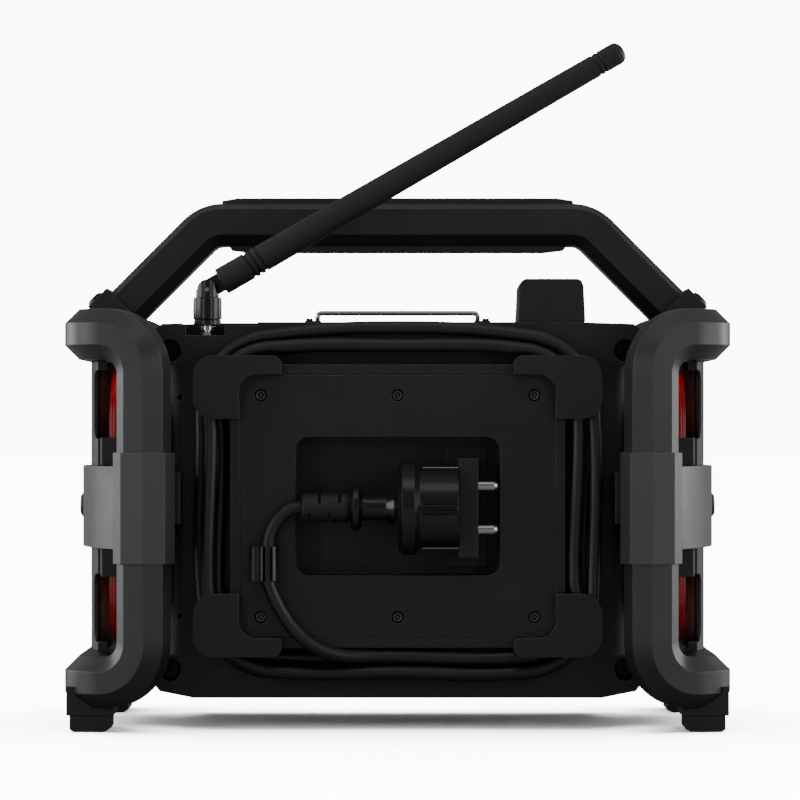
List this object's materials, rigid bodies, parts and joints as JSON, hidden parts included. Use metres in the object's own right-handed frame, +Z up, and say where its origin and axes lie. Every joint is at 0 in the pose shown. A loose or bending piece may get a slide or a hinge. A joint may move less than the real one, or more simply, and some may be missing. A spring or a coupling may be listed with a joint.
{
  "type": "jobsite radio",
  "caption": "Rugged portable radio with tubular side guards, carrying handle, tilting aerial, fold-up wire rest and a rear core that stores the power cord and plug.",
  "frame": {"origin": "on the ground, under the middle of the guards", "axes": "+Z up, -Y towards the front with the controls, +Y towards the rear with the cord, X across"},
  "size_m": [0.2908, 0.1862, 0.3016],
  "materials": {
    "housing_plastic": "black, fine moulded texture",
    "guard_plastic": "dark grey-black, satin, slightly worn edges",
    "band_plastic": "dark grey, satin",
    "soft_plastic": "black, soft, matt",
    "cord_sheath": "black cord sheath",
    "plug_plastic": "black, half gloss",
    "trim_red": "red, glossy",
    "zinc_steel": "zinc plated",
    "bright_wire": "polished",
    "dark_screw": "blackened steel",
    "board_green": "solder mask",
    "window_glass": "smoked clear cover",
    "cone_paper": "coated cone"
  },
  "bodies": {
    "radio": {"rear_housing": "housing_plastic", "front_housing": "housing_plastic", "rear_cover": "housing_plastic", "cover_screws": "dark_screw", "housing_screws": "dark_screw", "cord_cleats_upper": "housing_plastic", "cord_cleats_lower": "housing_plastic", "cord_gland": "soft_plastic", "cord_clip": "plug_plastic", "plug_holder": "housing_plastic", "power_plug": "plug_plastic", "plug_pins": "zinc_steel", "plug_earth_strips": "zinc_steel", "plug_strain_relief": "soft_plastic", "cord_winding": "cord_sheath", "cord_tail": "cord_sheath", "guard_upper_left": "guard_plastic", "guard_upper_right": "guard_plastic", "guard_lower_left": "guard_plastic", "guard_lower_right": "guard_plastic", "side_band_left": "band_plastic", "side_band_right": "band_plastic", "band_bolts": "dark_screw", "side_plate_left": "guard_plastic", "side_plate_right": "guard_plastic", "foot_pads": "soft_plastic", "foot_blocks": "soft_plastic", "speaker_pod_left": "housing_plastic", "speaker_pod_right": "housing_plastic", "trim_rings": "trim_red", "speaker_cones": "cone_paper", "speaker_magnets": "zinc_steel", "handle_bar": "guard_plastic", "handle_grip_upper": "soft_plastic", "handle_grip_lower": "soft_plastic", "handle_brackets": "guard_plastic", "handle_bolts": "dark_screw", "guard_arms": "housing_plastic", "aerial_nut": "bright_wire", "aerial_rest": "housing_plastic", "bail_ears": "housing_plastic", "front_panel": "guard_plastic", "display_window": "window_glass", "display_board": "board_green", "port_sockets": "zinc_steel", "rotary_controls": "zinc_steel", "main_board": "board_green", "power_supply": "zinc_steel"},
    "aerial_foot": {"aerial_collar": "plug_plastic", "aerial_pin": "zinc_steel"},
    "aerial_arm": {"aerial_rod": "soft_plastic"},
    "bail": {"wire_bail": "bright_wire"},
    "volume": {"volume_knob": "soft_plastic"},
    "tuning": {"tuning_knob": "soft_plastic"},
    "flap": {"port_flap": "soft_plastic"},
    "key_1": {"button_1": "soft_plastic"},
    "key_2": {"button_2": "soft_plastic"},
    "key_3": {"button_3": "soft_plastic"},
    "key_4": {"button_4": "soft_plastic"},
    "key_5": {"button_5": "soft_plastic"}
  },
  "joints": [
    {"name": "aerial_turn", "type": "hinge", "parent": "radio", "child": "aerial_foot", "pos_m": [0.0838, 0.046, 0.18], "axis": [0, 0, 1], "range_deg": [-180, 0]},
    {"name": "aerial_tilt", "type": "hinge", "parent": "aerial_foot", "child": "aerial_arm", "pos_m": [0.0838, 0.046, 0.1928], "axis": [0, 1, 0], "range_deg": [-30, 60]},
    {"name": "bail_lift", "type": "hinge", "parent": "radio", "child": "bail", "pos_m": [0, -0.022, 0.18], "axis": [1, 0, 0], "range_deg": [0, 95]},
    {"name": "volume_turn", "type": "hinge", "parent": "radio", "child": "volume", "pos_m": [-0.064, -0.057, 0.1232], "axis": [0, 1, 0], "range_deg": [-140, 140]},
    {"name": "tuning_turn", "type": "hinge", "parent": "radio", "child": "tuning", "pos_m": [0.064, -0.057, 0.1232], "axis": [0, 1, 0], "continuous": true},
    {"name": "flap_open", "type": "hinge", "parent": "radio", "child": "flap", "pos_m": [0, -0.0557, 0.0485], "axis": [1, 0, 0], "range_deg": [0, 90]},
    {"name": "key_1_press", "type": "slide", "parent": "radio", "child": "key_1", "axis": [0, 1, 0], "range_m": [0, 0.0012], "stiffness_N_per_m": 900, "springref_m": -0.0004},
    {"name": "key_2_press", "type": "slide", "parent": "radio", "child": "key_2", "axis": [0, 1, 0], "range_m": [0, 0.0012], "stiffness_N_per_m": 900, "springref_m": -0.0004},
    {"name": "key_3_press", "type": "slide", "parent": "radio", "child": "key_3", "axis": [0, 1, 0], "range_m": [0, 0.0012], "stiffness_N_per_m": 900, "springref_m": -0.0004},
    {"name": "key_4_press", "type": "slide", "parent": "radio", "child": "key_4", "axis": [0, 1, 0], "range_m": [0, 0.0012], "stiffness_N_per_m": 900, "springref_m": -0.0004},
    {"name": "key_5_press", "type": "slide", "parent": "radio", "child": "key_5", "axis": [0, 1, 0], "range_m": [0, 0.0012], "stiffness_N_per_m": 900, "springref_m": -0.0004}
  ]
}
